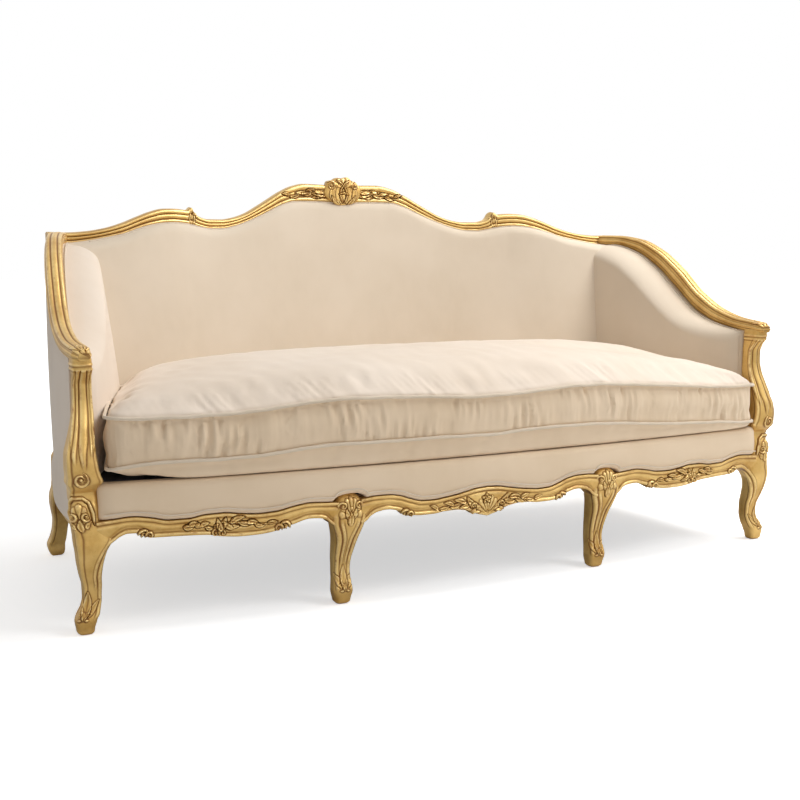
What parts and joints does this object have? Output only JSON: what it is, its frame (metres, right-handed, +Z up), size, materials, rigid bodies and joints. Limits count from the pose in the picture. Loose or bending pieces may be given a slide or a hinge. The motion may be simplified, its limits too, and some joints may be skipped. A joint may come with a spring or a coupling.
{
  "type": "cabriole sofa",
  "caption": "Carved gilded cabriole sofa with serpentine rails, a bowed crested back, tight upholstered back and arms, and a loose box seat cushion.",
  "frame": {"origin": "on the floor under the middle of the sofa's bounding box", "axes": "+X to the right seen from the front, +Y to the back, +Z up"},
  "size_m": [1.9866, 0.9492, 1.058],
  "materials": {
    "gilded_wood": "water gilding on carved beech, worn at the edges",
    "stained_wood": "dark stained beech, satin",
    "beech_wood": "plain sawn beech",
    "screw_steel": "plain steel",
    "jute": "coarse jute weave",
    "stuffing": "soft fibre filling",
    "dark_lining": "dark plain-weave lining",
    "self_trim": "cord and braid in the cover fabric",
    "cream_fabric": "cream short-pile fabric with a soft sheen"
  },
  "bodies": {
    "frame": {"back_hessian": "jute", "back_pad": "stuffing", "back_stays": "beech_wood", "back_stuffing_rail": "beech_wood", "centre_crest_rail": "gilded_wood", "centre_front_rail": "gilded_wood", "corner_block_screws": "screw_steel", "corner_blocks": "beech_wood", "crest_shell": "gilded_wood", "dust_cover": "dark_lining", "front_border_cover": "cream_fabric", "front_border_gimp": "self_trim", "front_border_pad": "stuffing", "inside_back_cover": "cream_fabric", "joint_dowels": "beech_wood", "left_arm_pad": "stuffing", "left_arm_post": "gilded_wood", "left_arm_rail": "gilded_wood", "left_arm_stuffing_rail": "beech_wood", "left_crest_rail": "gilded_wood", "left_front_leg": "gilded_wood", "left_front_rail": "gilded_wood", "left_inner_front_leg": "gilded_wood", "left_inner_rear_leg": "stained_wood", "left_inside_arm_cover": "cream_fabric", "left_outside_arm_cover": "cream_fabric", "left_rear_leg": "stained_wood", "left_side_rail": "gilded_wood", "outside_back_cover": "cream_fabric", "rear_rail": "beech_wood", "right_arm_pad": "stuffing", "right_arm_post": "gilded_wood", "right_arm_rail": "gilded_wood", "right_arm_stuffing_rail": "beech_wood", "right_crest_rail": "gilded_wood", "right_front_leg": "gilded_wood", "right_front_rail": "gilded_wood", "right_inner_front_leg": "gilded_wood", "right_inner_rear_leg": "stained_wood", "right_inside_arm_cover": "cream_fabric", "right_outside_arm_cover": "cream_fabric", "right_rear_leg": "stained_wood", "right_side_rail": "gilded_wood", "seat_braces": "beech_wood", "seat_deck_cover": "dark_lining", "seat_deck_pad": "stuffing", "seat_hessian": "jute", "seat_webbing_cross": "jute", "seat_webbing_long": "jute"},
    "seat_cushion": {"cushion_core": "stuffing", "cushion_cover": "cream_fabric", "cushion_upper_welt": "self_trim", "cushion_lower_welt": "self_trim"}
  },
  "joints": [
    {"name": "cushion_lift", "type": "slide", "parent": "frame", "child": "seat_cushion", "axis": [0, 0, 1], "range_m": [0, 0.7]}
  ]
}
